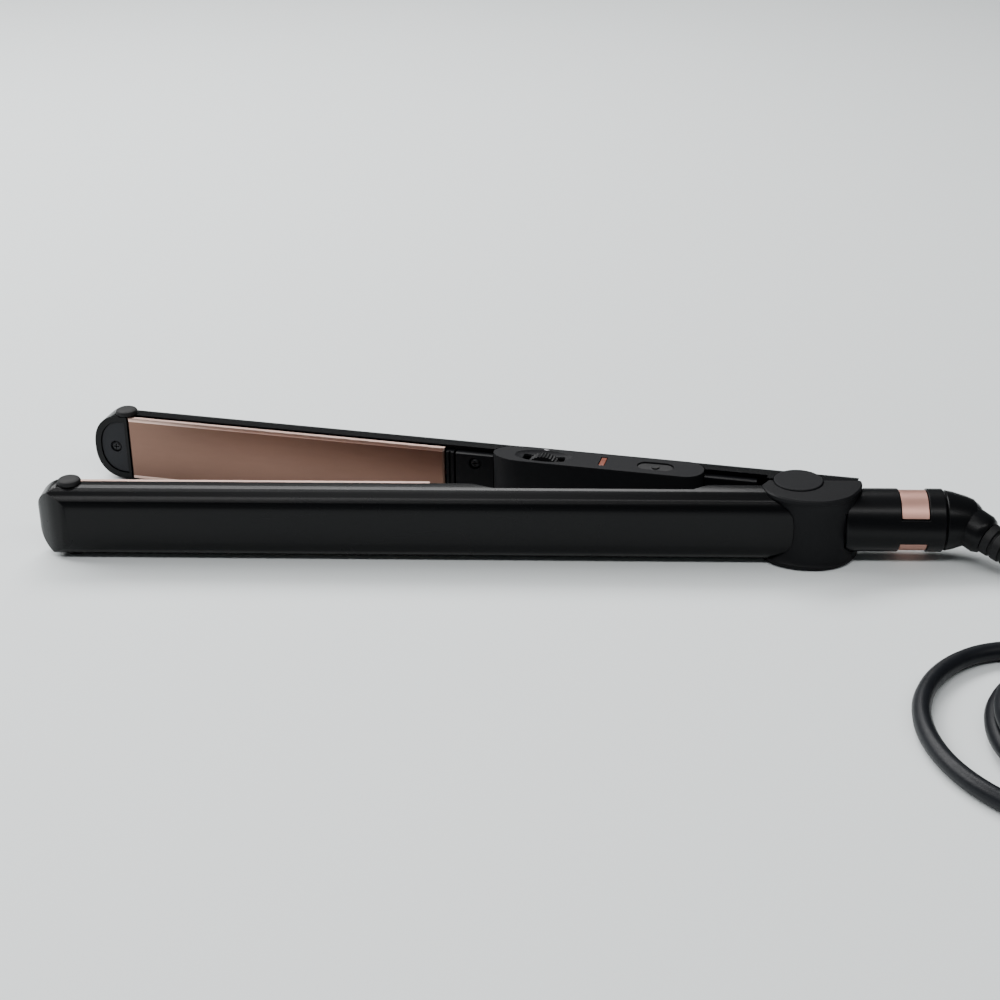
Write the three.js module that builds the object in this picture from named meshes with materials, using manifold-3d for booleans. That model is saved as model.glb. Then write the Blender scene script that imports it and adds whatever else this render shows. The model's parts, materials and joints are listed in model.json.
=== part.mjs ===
// Flat iron lying on its side edge, arms open on a sprung hinge.
// Millimetres, +Z up, floor at z = 0, hinge axis at x = 0, y = 0.
// The front arm points to -X and is fixed; the rear arm is drawn closed, then opened about Z.
import * as THREE from 'three';
import { mergeVertices } from 'three/addons/utils/BufferGeometryUtils.js';
import Module from 'manifold-3d';

const wasm = await Module();
wasm.setup();
const { Manifold, Mesh } = wasm;

// Clearances
const GAP = 0.3;
const THROUGH = 4;

// Arms
const ARM_WIDTH = 26;
const ARM_THICK = 13.5;
const ARM_CORNER = 7.2;
const ARM_WALL = 1.5;
const BACK_WALL = 1.8;
const SIDE_PROUD = 0.8;
const UPPER_BUMPER_PROUD = 1.9;
const CENTRE_Z = ARM_WIDTH / 2 + SIDE_PROUD;
const TOTAL_HEIGHT = 2 * CENTRE_Z;
const OPEN_ANGLE = 12.11;
const RIM_DEPTH = 3.2;
const COVER_FACE = 0.4;
const COVER_INSET = ARM_WALL + GAP;

// Nose
const TIP_X = -268.8;
const TIP_LENGTH = 12.2;
const TIP_FULLNESS = 0.86;
const NOSE_LENGTH = 13.2;
const TIP_FACE = 0.5;
const TIP_RIM = 2.4;
const TIP_INSERT_THICK = 3.2;
const TIP_WALL = 1;

// Heater plates
const PLATE_WIDTH = 25;
const PLATE_START = -254.5;
const PLATE_END = -128.9;
const PLATE_FACE = 0.3;
const PLATE_BEVEL = 1.2;
const PLATE_BEVEL_DEPTH = 0.4;
const PLATE_EDGE_THICK = 1.9;
const TONGUE_HALF = 10.6;
const TONGUE_THICK = 1.8;
const HEATER_LENGTH = 92;
const HEATER_HALF = 8;
const HEATER_THICK = 1.3;
const CARRIER_THICK = 1.6;
const SPRING_RADIUS = 3.2;
const SPRING_WIRE = 0.4;
const SPRING_TURNS = 3;
const SPRING_SPAN = 84;

// Handle
const BLOCK_LENGTH = 3;
const COVER_START = PLATE_END + BLOCK_LENGTH + 3 * GAP + 0.5;
const COVER_END = -14.6;
const COVER_THICK = 2.6;
const RECESS_DEPTH = 6.7;
const RECESS_FLOOR = 1.5;

// Control pod
const POD_START = -110.3;
const POD_END = -33.4;
const POD_FRONT = -5;
const POD_BACK = 8;
const POD_NOSE = 11.5;
const POD_TAIL = 6.4;
const POD_BOTTOM = CENTRE_Z - 0.8;
const POD_WALL = 1.6;
const POD_TOP = CENTRE_Z + ARM_WIDTH / 2;
const RECESS_START = POD_START + 3.6;
const RECESS_END = POD_END - 3.5;
const RECESS_SLOPE = 7.9;
const RECESS_RISE = 5.7;

// Controls
const DIAL_X = -91.6;
const DIAL_Y = 1.3;
const DIAL_RADIUS = 6.8;
const DIAL_THICK = 4;
const DIAL_Z = POD_TOP + 0.6 - DIAL_RADIUS;
const DIAL_NOTCHES = 36;
const DIAL_SLOT_X = 7.7;
const LENS_X = -69.9;
const LENS_HALF_X = 0.95;
const LENS_HALF_Y = 3.2;
const BUTTON_X = -50.8;
const BUTTON_HALF = 6.3;
const BUTTON_RADIUS = 2.9;
const CONTROL_Y = 1.5;
const BOARD_Z = POD_BOTTOM + 3.6;
const BOARD_THICK = 1.4;

// Hinge
const FLANGE_PROUD = 0.3;
const HUB_BACK_Y = 0.5;
const HUB_RIGHT = 22;
const CAP_RADIUS = 8.58;
const CAP_THICK = 1.4;
const LUG_RADIUS = CAP_RADIUS - GAP;
const LUG_THICK = 5.2;
const PIN_RADIUS = 2.4;
const KNUCKLE_RADIUS = LUG_RADIUS - GAP;
const REAR_END_X = 20.2;
const HINGE_BLOCK_X = -11;
const COIL_RADIUS = 4.4;
const COIL_WIRE = 0.6;
const COIL_TURNS = 3;
const COIL_PITCH = 1.6;

// Tail
const TAIL_RADIUS = 11.1;
const TAIL_Y = -3.2;
const TAIL_WALL = 2.2;
const TAIL_START = HUB_RIGHT + GAP + 0.6;
const TAIL_ROOT = HUB_RIGHT - 6.2;
const TAIL_END = 50.3;
const INLAY_START = 34.7;
const INLAY_END = 44.3;
const INLAY_HALF_ANGLE = 63;
const INLAY_SINK = 0.5;
const INLAY_THICK = 0.45;
const BEARING_LENGTH = 5;
const NECK_RADIUS = 5.6;

// Swivel, cord and plug
const SWIVEL_RADIUS = 10.6;
const SWIVEL_TAPER_END = 58.5;
const SWIVEL_SMALL = 8.6;
const ELBOW = new THREE.Vector3(57, TAIL_Y, CENTRE_Z);
const CORD_DIRECTION = new THREE.Vector3(0.7, -0.67, -0.25).normalize();
const SOCKET_RADIUS = 7.2;
const SOCKET_END = 11.5;
const RELIEF_LENGTH = 25;
const RELIEF_START_RADIUS = 5.7;
const RELIEF_END_RADIUS = 4.3;
const RELIEF_RIBS = 6;
const CORD_RADIUS = 3;
const CORD_SIDES = 8;
const CORD_LIE = CORD_RADIUS + 0.2;
const COIL_CENTRE = new THREE.Vector2(87, -126);
const COIL_MEAN = 36;
const COIL_HALF_WIDTH = 8.6;
const COIL_HEIGHT = 14;
const TIE_WIDTH = 9;
const TIE_THICK = 0.9;
const PLUG_OFFSET = 26;
const PLUG_LENGTH = 34;
const PLUG_WIDTH = 24;
const PLUG_HEIGHT = 17;
const BLADE_LENGTH = 16;
const BLADE_SPACING = 12.7;

// Materials
const plastic = (name, colour, roughness) => {
  return new THREE.MeshStandardMaterial({ name, color: colour, roughness });
};
const metal = (name, colour, roughness) => new THREE.MeshStandardMaterial({
  name,
  color: colour,
  roughness,
  metalness: 1,
});
const blackPlastic = plastic('black plastic', 0x17181a, 0.5);
const charcoal = plastic('charcoal plastic', 0x26272a, 0.6);
const rubber = plastic('black rubber', 0x121314, 0.75);
const roseGold = metal('rose gold plate', 0xb08a7c, 0.35);
const steel = metal('zinc steel', 0xb4b6b8, 0.4);
const springSteel = metal('spring steel', 0x8d9092, 0.35);
const ceramic = plastic('white ceramic', 0xe6e2d8, 0.7);
const boardGreen = plastic('board laminate', 0x1c5138, 0.6);
const redLens = plastic('red lens', 0xc8401e, 0.25);
const clearLamp = plastic('lamp body', 0xd8c8b4, 0.3);
const brass = metal('blade brass', 0xc8a860, 0.35);
const cordBlack = plastic('cord jacket', 0x101112, 0.65);
const leadRed = plastic('lead jacket', 0x8f2a22, 0.6);

// Closed solid from any geometry: vertices welded, faces turned outward.
function solid(geometry) {
  const bare = new THREE.BufferGeometry();
  bare.setAttribute('position', geometry.getAttribute('position').clone());
  if (geometry.index) {
    bare.setIndex(geometry.index.clone());
  }
  const welded = mergeVertices(bare, 1e-4);
  const source = welded.index.array;
  const position = welded.getAttribute('position').array;
  const triangles = [];
  let volume = 0;
  const a = new THREE.Vector3();
  const b = new THREE.Vector3();
  const c = new THREE.Vector3();
  for (let i = 0; i < source.length; i += 3) {
    const [p, q, r] = [source[i], source[i + 1], source[i + 2]];
    if (p !== q && q !== r && p !== r) {
      triangles.push(p, q, r);
      a.fromArray(position, 3 * p);
      b.fromArray(position, 3 * q);
      c.fromArray(position, 3 * r);
      volume += a.dot(b.cross(c));
    }
  }
  if (volume < 0) {
    triangles.reverse();
  }
  return new Manifold(new Mesh({
    numProp: 3,
    vertProperties: new Float32Array(position),
    triVerts: new Uint32Array(triangles),
  }));
}

function join(...parts) {
  return parts.reduce((sum, part) => sum.add(part));
}

function cut(body, ...tools) {
  return tools.reduce((rest, tool) => rest.subtract(tool), body);
}

// Outline whose corners [x, y, radius] are rounded.
function rounded(corners, steps = 5) {
  const out = [];
  corners.forEach(([x, y, radius = 0], i) => {
    const corner = new THREE.Vector2(x, y);
    if (radius === 0) {
      out.push(corner);
      return;
    }
    const [px, py] = corners[(i + corners.length - 1) % corners.length];
    const [nx, ny] = corners[(i + 1) % corners.length];
    const back = new THREE.Vector2(px - x, py - y).normalize();
    const ahead = new THREE.Vector2(nx - x, ny - y).normalize();
    const half = Math.acos(THREE.MathUtils.clamp(back.dot(ahead), -1, 1)) / 2;
    const reach = radius / Math.tan(half);
    const centre = back.clone().add(ahead).normalize().multiplyScalar(radius / Math.sin(half)).add(corner);
    const from = back.multiplyScalar(reach).add(corner).sub(centre);
    const to = ahead.multiplyScalar(reach).add(corner).sub(centre);
    const start = from.angle();
    let sweep = to.angle() - start;
    sweep -= 2 * Math.PI * Math.round(sweep / (2 * Math.PI));
    for (let k = 0; k <= steps; k += 1) {
      const angle = start + sweep * k / steps;
      out.push(new THREE.Vector2(centre.x + radius * Math.cos(angle), centre.y + radius * Math.sin(angle)));
    }
  });
  return out;
}

function points(pairs) {
  return pairs.map(([x, y]) => new THREE.Vector2(x, y));
}

function extruded(outline, depth) {
  return new THREE.ExtrudeGeometry(new THREE.Shape(outline), { depth, bevelEnabled: false });
}

// Outline in (x, y) raised from z0 to z1.
function alongZ(outline, z0, z1) {
  return solid(extruded(outline, z1 - z0).translate(0, 0, z0));
}

// Outline in (x, z) drawn out from y0 to y1.
function alongY(outline, y0, y1) {
  return solid(extruded(outline, y1 - y0).rotateX(Math.PI / 2).translate(0, y1, 0));
}

// Outline in (y, z) drawn out from x0 to x1.
function alongX(outline, x0, x1) {
  const turn = new THREE.Matrix4().makeBasis(
    new THREE.Vector3(0, 1, 0),
    new THREE.Vector3(0, 0, 1),
    new THREE.Vector3(1, 0, 0),
  );
  return solid(extruded(outline, x1 - x0).applyMatrix4(turn).translate(x0, 0, 0));
}

// Solid through outlines [height, outline] with the same number of points, running anticlockwise.
function lofted(levels) {
  const count = levels[0][1].length;
  const position = [];
  const index = [];
  for (const [z, outline] of levels) {
    outline.forEach((p) => position.push(p.x, p.y, z));
  }
  for (let k = 0; k < levels.length - 1; k += 1) {
    for (let i = 0; i < count; i += 1) {
      const a = k * count + i;
      const b = k * count + (i + 1) % count;
      index.push(a, b, b + count, a, b + count, a + count);
    }
  }
  const last = (levels.length - 1) * count;
  for (const [a, b, c] of THREE.ShapeUtils.triangulateShape(levels[0][1], [])) {
    index.push(c, b, a);
  }
  for (const [a, b, c] of THREE.ShapeUtils.triangulateShape(levels[levels.length - 1][1], [])) {
    index.push(last + a, last + b, last + c);
  }
  const geometry = new THREE.BufferGeometry();
  geometry.setAttribute('position', new THREE.Float32BufferAttribute(position, 3));
  geometry.setIndex(index);
  return solid(geometry);
}

// Block between two corners; y values may come in either order.
function block(x0, x1, y0, y1, z0, z1) {
  const low = Math.min(y0, y1);
  const high = Math.max(y0, y1);
  const shape = new THREE.BoxGeometry(x1 - x0, high - low, z1 - z0);
  return solid(shape.translate((x0 + x1) / 2, (low + high) / 2, (z0 + z1) / 2));
}

// Turned piece: profile [radius, height] pairs, standing on `base` and pointing along `axis`.
function turned(profile, base, axis, segments = 28) {
  const shape = new THREE.LatheGeometry(points(profile), segments);
  const turn = new THREE.Quaternion().setFromUnitVectors(new THREE.Vector3(0, 1, 0), axis);
  return solid(shape.applyQuaternion(turn).translate(base.x, base.y, base.z));
}

const UP = new THREE.Vector3(0, 0, 1);
const DOWN = new THREE.Vector3(0, 0, -1);
const RIGHT = new THREE.Vector3(1, 0, 0);
const at = (x, y, z) => new THREE.Vector3(x, y, z);

function rod(radius, base, axis, length, segments = 28) {
  return turned([[0, 0], [radius, 0], [radius, length], [0, length]], base, axis, segments);
}

function tube(outer, inner, base, axis, length, segments = 32) {
  const profile = [[inner, 0], [outer, 0], [outer, length], [inner, length], [inner, 0]];
  return turned(profile, base, axis, segments);
}

// Round rod bent along a curve.
function bent(curve, radius, sides, steps) {
  const ring = [];
  for (let i = 0; i < sides; i += 1) {
    const angle = 2 * Math.PI * i / sides;
    ring.push(new THREE.Vector2(radius * Math.cos(angle), radius * Math.sin(angle)));
  }
  return solid(new THREE.ExtrudeGeometry(new THREE.Shape(ring), { steps, extrudePath: curve }));
}

class Helix extends THREE.Curve {
  constructor(radius, height, turns) {
    super();
    this.radius = radius;
    this.height = height;
    this.turns = turns;
  }

  getPoint(t, target = new THREE.Vector3()) {
    const angle = 2 * Math.PI * this.turns * t;
    return target.set(this.radius * Math.cos(angle), this.radius * Math.sin(angle), this.height * t);
  }
}

// Cross-head screw pointing into the arm; the head face is at depth `face` on side `s`.
function screw(x, z, face, s, length) {
  const inward = at(0, s, 0);
  const body = turned(
    [[0, 0], [1.2, 0], [1.8, 0.35], [1.9, 0.9], [1.0, 1.3], [1.0, length - 0.6], [0, length]],
    at(x, s * face, z),
    inward,
    16,
  );
  const y1 = s * (face + 0.8);
  const y0 = s * (face - 1);
  const slotA = block(x - 1.1, x + 1.1, y0, y1, z - 0.22, z + 0.22);
  const slotB = block(x - 0.22, x + 0.22, y0, y1, z - 1.1, z + 1.1);
  return cut(body, slotA, slotB);
}

const group = new THREE.Group();
group.name = 'flat_iron';

function add(name, body, material, open = false) {
  const placed = open ? body.rotate([0, 0, -OPEN_ANGLE]) : body;
  const data = placed.getMesh();
  const geometry = new THREE.BufferGeometry();
  const stride = data.numProp;
  const count = data.vertProperties.length / stride;
  const position = new Float32Array(3 * count);
  for (let i = 0; i < count; i += 1) {
    position[3 * i] = data.vertProperties[stride * i];
    position[3 * i + 1] = data.vertProperties[stride * i + 1];
    position[3 * i + 2] = data.vertProperties[stride * i + 2];
  }
  geometry.setAttribute('position', new THREE.BufferAttribute(position, 3));
  geometry.setIndex(new THREE.BufferAttribute(new Uint32Array(data.triVerts), 1));
  geometry.computeVertexNormals();
  const mesh = new THREE.Mesh(geometry, material);
  mesh.name = name;
  group.add(mesh);
}

const LOW = CENTRE_Z - ARM_WIDTH / 2;
const HIGH = CENTRE_Z + ARM_WIDTH / 2;
const OPENING_HALF = ARM_WIDTH / 2 - ARM_WALL;
const INNER_BACK = ARM_THICK - BACK_WALL;
const sine = Math.sin(THREE.MathUtils.degToRad(OPEN_ANGLE));
const cosine = Math.cos(THREE.MathUtils.degToRad(OPEN_ANGLE));

// Arm cross-section in (y, z): square at the mouth, rounded at the back.
function armSection(s, from, back, half, corner) {
  return rounded([
    [s * from, CENTRE_Z - half],
    [s * back, CENTRE_Z - half, corner],
    [s * back, CENTRE_Z + half, corner],
    [s * from, CENTRE_Z + half],
  ], 6);
}

// Nose seen from the side, in (x, z).
function noseOutline(inset, length, end) {
  const outline = [];
  const half = ARM_WIDTH / 2 - inset;
  for (let i = 0; i <= 32; i += 1) {
    const angle = Math.PI / 2 + Math.PI * i / 32;
    const along = Math.abs(Math.cos(angle)) ** TIP_FULLNESS;
    const across = Math.sign(Math.sin(angle)) * Math.abs(Math.sin(angle)) ** TIP_FULLNESS;
    outline.push(new THREE.Vector2(TIP_X + TIP_LENGTH - (length - inset) * along, CENTRE_Z + half * across));
  }
  outline.push(new THREE.Vector2(end, CENTRE_Z - half));
  outline.push(new THREE.Vector2(end, CENTRE_Z + half));
  return outline;
}

// Nose slope seen from above, in (x, y); `end` is the far end of the arm.
function nosePlan(s, end) {
  const slope = new THREE.SplineCurve(points([
    [NOSE_LENGTH, ARM_THICK + 0.1],
    [NOSE_LENGTH * 0.55, ARM_THICK * 0.84],
    [NOSE_LENGTH * 0.22, ARM_THICK * 0.58],
    [NOSE_LENGTH * 0.05, ARM_THICK * 0.38],
    [0, ARM_THICK * 0.18],
  ])).getPoints(14);
  const outline = slope.map((p) => [TIP_X + p.x, s * p.y]);
  outline.unshift([end, s * (ARM_THICK + 0.1)]);
  outline.push([TIP_X, -s], [end, -s]);
  return points(outline);
}

function armEnvelope(s, from, end) {
  const bar = alongX(armSection(s, from, ARM_THICK, ARM_WIDTH / 2, ARM_CORNER), TIP_X - 1, end);
  const side = alongY(noseOutline(0, TIP_LENGTH, end + 1), -ARM_THICK - 1, ARM_THICK + 1);
  const plan = alongZ(nosePlan(s, end + 1), LOW - 1, HIGH + 1);
  return bar.intersect(side).intersect(plan);
}

// Hollow of an arm: open toward the mid-plane.
function armHollow(s, from, to) {
  const section = armSection(s, -2, INNER_BACK, OPENING_HALF, ARM_CORNER - ARM_WALL);
  return alongX(section, from, to);
}

// Outline of the hinge hub in (x, y), set in by `inset`; `waist` goes from the flange (0) to the middle (1).
function hubOutline(inset, waist) {
  const ends = [
    [-13, -3, -9.6, -3],
    [-11.4, -8.8, -7.8, -8],
    [-7.8, -13, -4.8, -11.8],
    [-1.6, -16, -0.4, -14.5],
    [5.5, -16.8, 5.9, -15.7],
    [11.4, -15.7, 11.3, -15],
    [16.8, -12.3, 16.6, -12.1],
    [20.4, -7, 20.4, -7],
    [HUB_RIGHT, -2, HUB_RIGHT, -2],
  ];
  const edge = new THREE.SplineCurve(ends.map(([x0, y0, x1, y1]) => new THREE.Vector2(
    THREE.MathUtils.lerp(x0, x1, waist),
    THREE.MathUtils.lerp(y0, y1, waist),
  ))).getPoints(26);
  const middle = new THREE.Vector2(4, -4);
  const outline = edge.map((p) => {
    const away = p.clone().sub(middle);
    return middle.clone().add(away.setLength(away.length() - inset));
  });
  outline.push(new THREE.Vector2(HUB_RIGHT - inset, HUB_BACK_Y));
  outline.push(new THREE.Vector2(THREE.MathUtils.lerp(-10.6, -8.4, waist) + inset, HUB_BACK_Y));
  return outline;
}

// Spool-shaped hub: flanges below and above, a waist between them.
const FLANGE_LOW = LOW - FLANGE_PROUD;
const FLANGE_HIGH = HIGH + FLANGE_PROUD;
function hubBody(grow) {
  const reach = grow > 0 ? 2 : 0;
  const half = [
    [-reach, 0.5 - grow, 0],
    [0.4, -grow, 0],
    [1.5, -grow, 0],
    [1.9, 0.25 - grow, 0.1],
    [3.2, 0.35 - grow, 0.35],
    [5.2, 0.35 - grow, 0.65],
    [8, 0.35 - grow, 0.9],
    [11, 0.35 - grow, 1],
  ];
  const levels = half.map(([up, inset, waist]) => [FLANGE_LOW + up, hubOutline(inset, waist)]);
  for (const [up, inset, waist] of half.toReversed()) {
    levels.push([FLANGE_HIGH - up, hubOutline(inset, waist)]);
  }
  return lofted(levels);
}

// Space the control pod sweeps into on the other arm, seen from above in (x, y).
function recessOutline(depth) {
  return points([
    [RECESS_START - RECESS_SLOPE, 4],
    [RECESS_START - RECESS_SLOPE, -RIM_DEPTH + 0.2],
    [RECESS_START, -depth],
    [RECESS_END, -depth],
    [RECESS_END + RECESS_RISE, -RIM_DEPTH + 0.2],
    [RECESS_END + RECESS_RISE, 4],
  ]);
}

// Pod seen from above, in (x, y): long elliptical left end, short right end.
function podOutline(grow) {
  const middle = (POD_FRONT + POD_BACK) / 2;
  const half = (POD_BACK - POD_FRONT) / 2 + grow;
  const outline = [];
  const steps = 16;
  for (let i = 0; i <= steps; i += 1) {
    const angle = Math.PI / 2 + Math.PI * i / steps;
    const x = POD_START + POD_NOSE + (POD_NOSE + grow) * Math.cos(angle);
    outline.push(new THREE.Vector2(x, middle + half * Math.sin(angle)));
  }
  for (let i = 0; i <= steps; i += 1) {
    const angle = -Math.PI / 2 + Math.PI * i / steps;
    const x = POD_END - POD_TAIL + (POD_TAIL + grow) * Math.cos(angle);
    outline.push(new THREE.Vector2(x, middle + half * Math.sin(angle)));
  }
  return outline;
}

const BUMPER_X = -256.2;
const BUMPER_Y = 4.5;
const BUMPER_RADIUS = 4.1;
const SEAT_DEPTH = 0.5;
const TIP_SCREW_X = TIP_X + 8.4;
const COVER_SCREW_X = COVER_START + 7.2;
const COVER_SCREWS = [['upper', CENTRE_Z + 7.6], ['lower', CENTRE_Z - 7.6]];
const BOSS_RADIUS = 2.2;

// Casings
function casing(s, end) {
  let body = armEnvelope(s, TIP_FACE, end);
  const bumperSeat = rod(BUMPER_RADIUS + GAP, at(BUMPER_X, s * BUMPER_Y, HIGH - SEAT_DEPTH), UP, THROUGH);
  const lowSeat = rod(BUMPER_RADIUS + GAP, at(BUMPER_X, s * BUMPER_Y, LOW + SEAT_DEPTH), DOWN, THROUGH);
  body = cut(body, bumperSeat, lowSeat);
  body = cut(body, block(PLATE_START - GAP, end + 1, -s * 2, s * RIM_DEPTH, LOW - 1, HIGH + 1));
  const tipPocket = alongY(
    noseOutline(TIP_RIM, TIP_LENGTH, PLATE_START - GAP - TIP_WALL),
    Math.min(-s * 2, s * (TIP_FACE + TIP_INSERT_THICK + GAP)),
    Math.max(-s * 2, s * (TIP_FACE + TIP_INSERT_THICK + GAP)),
  );
  body = cut(body, tipPocket);
  body = cut(body, rod(1.2, at(TIP_SCREW_X, s * 2, CENTRE_Z), at(0, s, 0), 5, 16));
  return body;
}

// Posts that take the cover screws
function addPosts(body, s) {
  let result = body;
  for (const [, z] of COVER_SCREWS) {
    const post = rod(BOSS_RADIUS, at(COVER_SCREW_X, s * 8.6, z), at(0, s, 0), INNER_BACK - 8.2, 18);
    const hole = rod(1.25, at(COVER_SCREW_X, s * 8.5, z), at(0, s, 0), 3, 14);
    result = cut(join(result, post), hole);
  }
  return result;
}

let frontCasing = casing(-1, 12);
frontCasing = cut(frontCasing, armHollow(-1, PLATE_START + 2, COVER_END + GAP));
frontCasing = addPosts(frontCasing, -1);
frontCasing = cut(frontCasing, alongZ(recessOutline(RECESS_DEPTH), POD_BOTTOM - 1, HIGH + 1));
frontCasing = cut(frontCasing, hubBody(GAP), block(4, 20, -30, 5, LOW - 1, HIGH + 1));
add('front_casing', frontCasing, blackPlastic);

// The moving arm ends in a solid hinge block with a round knuckle.
const KNUCKLE_LOW = LOW + LUG_THICK + GAP;
const KNUCKLE_HIGH = HIGH - LUG_THICK - GAP;
let rearCasing = casing(1, REAR_END_X);
rearCasing = cut(rearCasing, armHollow(1, PLATE_START + 2, HINGE_BLOCK_X));
rearCasing = addPosts(rearCasing, 1);
const stopFace = (x) => (HUB_BACK_Y + GAP + x * sine) / cosine;
const hingeFill = alongX(
  armSection(1, HUB_BACK_Y + GAP, ARM_THICK, ARM_WIDTH / 2, ARM_CORNER),
  HINGE_BLOCK_X,
  REAR_END_X,
);
const endRound = alongZ(rounded([
  [HINGE_BLOCK_X - 1, -1],
  [REAR_END_X, -1],
  [REAR_END_X, ARM_THICK, 4],
  [HINGE_BLOCK_X - 1, ARM_THICK],
]), LOW - 1, HIGH + 1);
const stopCut = alongZ(points([
  [0, -2],
  [0, stopFace(0)],
  [REAR_END_X + 3, stopFace(REAR_END_X + 3)],
  [REAR_END_X + 3, -2],
]), LOW - 1, HIGH + 1);
const rearEndCut = cut(block(HINGE_BLOCK_X + 0.5, REAR_END_X + 2, -2, 20, LOW - 2, HIGH + 2), endRound);
rearCasing = cut(join(rearCasing, hingeFill), stopCut, rearEndCut);
rearCasing = join(rearCasing, rod(KNUCKLE_RADIUS, at(0, 0, KNUCKLE_LOW), UP, KNUCKLE_HIGH - KNUCKLE_LOW, 36));
for (const [z, axis] of [[KNUCKLE_HIGH, UP], [KNUCKLE_LOW, DOWN]]) {
  rearCasing = cut(rearCasing, rod(CAP_RADIUS + GAP, at(0, 0, z), axis, 3 * THROUGH, 36));
}
const springTop = KNUCKLE_HIGH;
const springLow = KNUCKLE_HIGH - COIL_TURNS * COIL_PITCH - 2 * COIL_WIRE - 2 * GAP;
rearCasing = cut(rearCasing, rod(PIN_RADIUS + GAP, at(0, 0, LOW - 2), UP, ARM_WIDTH + 4));
rearCasing = cut(
  rearCasing,
  rod(COIL_RADIUS + COIL_WIRE + GAP, at(0, 0, springLow), UP, springTop - springLow + 2),
);
const podHole = alongZ(podOutline(GAP), POD_BOTTOM - GAP, HIGH + THROUGH);
rearCasing = cut(rearCasing, podHole);
add('rear_casing', rearCasing, blackPlastic, true);

// Parts that both arms carry
for (const [arm, s] of [['front', -1], ['rear', 1]]) {
  const open = s > 0;
  const insertEnd = PLATE_START - 2 * GAP - TIP_WALL;
  const insert = alongY(
    noseOutline(TIP_RIM + GAP, TIP_LENGTH, insertEnd),
    Math.min(s * (TIP_FACE + 0.5), s * (TIP_FACE + TIP_INSERT_THICK)),
    Math.max(s * (TIP_FACE + 0.5), s * (TIP_FACE + TIP_INSERT_THICK)),
  );
  const countersink = turned(
    [[0, 0], [2.3, 0], [2.3, 1.5], [1.3, 1.9], [1.3, 6], [0, 6]],
    at(TIP_SCREW_X, s * (TIP_FACE + 0.4), CENTRE_Z),
    at(0, s, 0),
    20,
  );
  add(`${arm}_tip_insert`, cut(insert, countersink), charcoal, open);
  add(`${arm}_tip_screw`, screw(TIP_SCREW_X, CENTRE_Z, TIP_FACE + 0.55, s, 6), steel, open);

  for (const [side, z, axis, proud] of [
    ['upper', HIGH - SEAT_DEPTH + GAP, UP, UPPER_BUMPER_PROUD],
    ['lower', LOW + SEAT_DEPTH - GAP, DOWN, SIDE_PROUD],
  ]) {
    const height = SEAT_DEPTH - GAP + proud;
    const dome = turned(
      [[0, 0], [BUMPER_RADIUS, 0], [BUMPER_RADIUS, height * 0.45], [BUMPER_RADIUS * 0.93, height * 0.72],
        [BUMPER_RADIUS * 0.75, height * 0.9], [BUMPER_RADIUS * 0.45, height], [0, height]],
      at(BUMPER_X, s * BUMPER_Y, z),
      axis,
      28,
    );
    add(`${arm}_${side}_bumper`, dome, rubber, open);
  }

  // Plate with bevelled long edges and a tongue that enters the casing mouth.
  const half = PLATE_WIDTH / 2;
  const plateBack = PLATE_FACE + PLATE_EDGE_THICK;
  const plateSection = points([
    [s * PLATE_FACE, CENTRE_Z - half + PLATE_BEVEL],
    [s * (PLATE_FACE + PLATE_BEVEL_DEPTH), CENTRE_Z - half],
    [s * plateBack, CENTRE_Z - half],
    [s * plateBack, CENTRE_Z - TONGUE_HALF],
    [s * (plateBack + TONGUE_THICK), CENTRE_Z - TONGUE_HALF],
    [s * (plateBack + TONGUE_THICK), CENTRE_Z + TONGUE_HALF],
    [s * plateBack, CENTRE_Z + TONGUE_HALF],
    [s * plateBack, CENTRE_Z + half],
    [s * (PLATE_FACE + PLATE_BEVEL_DEPTH), CENTRE_Z + half],
    [s * PLATE_FACE, CENTRE_Z + half - PLATE_BEVEL],
  ]);
  const endBevel = alongZ(points([
    [PLATE_START + 0.8, s * (PLATE_FACE - 0.1)],
    [PLATE_END - 0.8, s * (PLATE_FACE - 0.1)],
    [PLATE_END, s * (PLATE_FACE + 0.8)],
    [PLATE_END, s * (plateBack + 0.01)],
    [PLATE_END - 3.5, s * (plateBack + 0.01)],
    [PLATE_END - 3.5, s * (plateBack + TONGUE_THICK + 1)],
    [PLATE_START + 3.5, s * (plateBack + TONGUE_THICK + 1)],
    [PLATE_START + 3.5, s * (plateBack + 0.01)],
    [PLATE_START, s * (plateBack + 0.01)],
    [PLATE_START, s * (PLATE_FACE + 0.8)],
  ]), LOW - 1, HIGH + 1);
  const plate = alongX(plateSection, PLATE_START - 1, PLATE_END + 1).intersect(endBevel);
  add(`${arm}_heater_plate`, plate, roseGold, open);

  // Heater strip and carrier behind the plate
  const middle = (PLATE_START + PLATE_END) / 2;
  const heaterFace = plateBack + TONGUE_THICK + GAP;
  const carrierFace = heaterFace + HEATER_THICK + GAP;
  const carrierBack = carrierFace + CARRIER_THICK;
  const heater = block(
    middle - HEATER_LENGTH / 2,
    middle + HEATER_LENGTH / 2,
    s * heaterFace,
    s * (heaterFace + HEATER_THICK),
    CENTRE_Z - HEATER_HALF,
    CENTRE_Z + HEATER_HALF,
  );
  add(`${arm}_ceramic_heater`, heater, ceramic, open);
  let carrier = block(
    PLATE_START + 4,
    PLATE_END - 4,
    s * carrierFace,
    s * carrierBack,
    CENTRE_Z - TONGUE_HALF,
    CENTRE_Z + TONGUE_HALF,
  );
  for (let i = -3; i <= 3; i += 1) {
    carrier = cut(carrier, alongY(rounded([
      [middle + 16 * i - 3, CENTRE_Z - 6.5, 2.8],
      [middle + 16 * i + 3, CENTRE_Z - 6.5, 2.8],
      [middle + 16 * i + 3, CENTRE_Z + 6.5, 2.8],
      [middle + 16 * i - 3, CENTRE_Z + 6.5, 2.8],
    ], 3), -ARM_THICK, ARM_THICK));
  }
  add(`${arm}_plate_carrier`, carrier, charcoal, open);

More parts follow.
